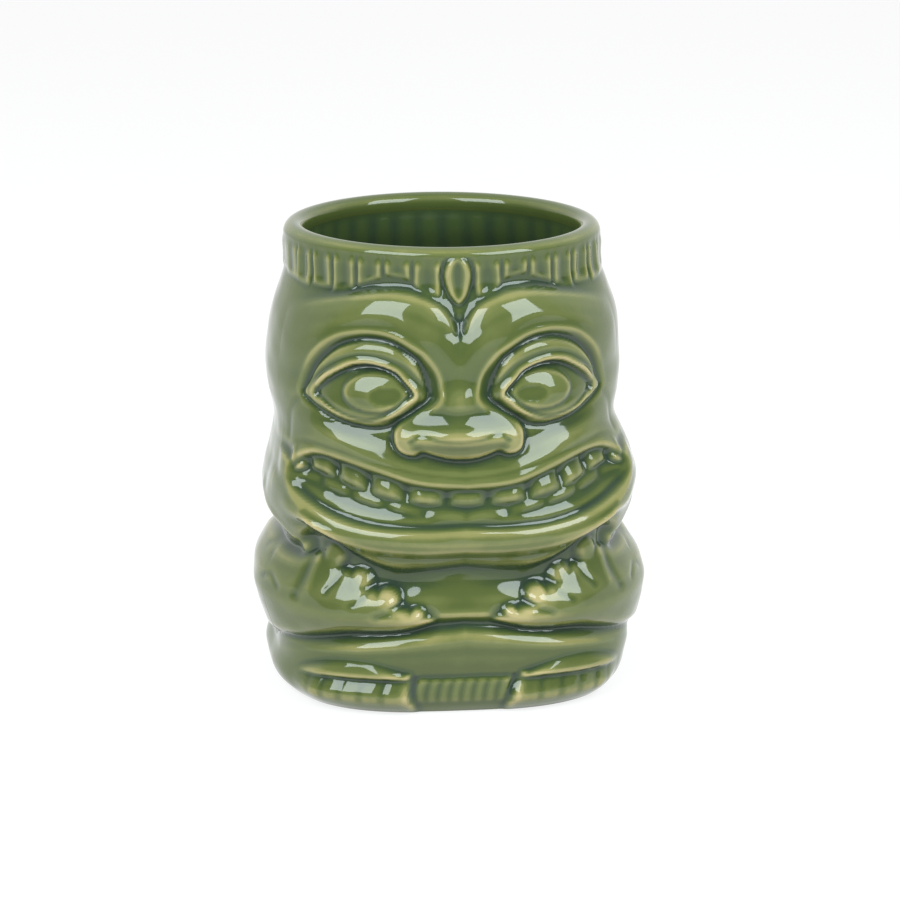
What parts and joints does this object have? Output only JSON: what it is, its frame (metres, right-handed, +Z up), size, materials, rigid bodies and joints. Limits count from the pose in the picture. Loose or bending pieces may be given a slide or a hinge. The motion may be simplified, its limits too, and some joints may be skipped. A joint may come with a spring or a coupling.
{
  "type": "tiki mug",
  "caption": "Squat handleless ceramic mug shaped as a grinning carved figure with folded hands, in glossy pooled green glaze.",
  "frame": {"origin": "centre of the foot ring's underside, on the table", "axes": "+Z up through the mug's mouth, the carved face looks along -Y, +X is to the right of someone facing it"},
  "size_m": [0.0984, 0.0942, 0.115],
  "materials": {
    "green_glaze": "glossy translucent glaze, pale on raised edges and dark where it pools",
    "bare_clay": "matt, unglazed"
  },
  "bodies": {
    "root": {"cup_wall": "green_glaze", "cup_floor": "green_glaze", "foot_ring": "bare_clay", "hair_fringe": "green_glaze", "forehead_leaf": "green_glaze", "brow_left": "green_glaze", "brow_right": "green_glaze", "upper_lid_left": "green_glaze", "upper_lid_right": "green_glaze", "eye_left": "green_glaze", "eye_right": "green_glaze", "lower_lid_left": "green_glaze", "lower_lid_right": "green_glaze", "nose": "green_glaze", "cheek_left": "green_glaze", "cheek_right": "green_glaze", "upper_lip": "green_glaze", "upper_teeth": "green_glaze", "lower_teeth": "green_glaze", "lower_lip": "green_glaze", "chin": "green_glaze", "hair_lock_left": "green_glaze", "hair_lock_right": "green_glaze", "arm_left": "green_glaze", "arm_right": "green_glaze", "hand_left": "green_glaze", "hand_right": "green_glaze", "chest": "green_glaze", "belly": "green_glaze", "foot_left": "green_glaze", "foot_right": "green_glaze", "apron": "green_glaze"}
  },
  "joints": []
}
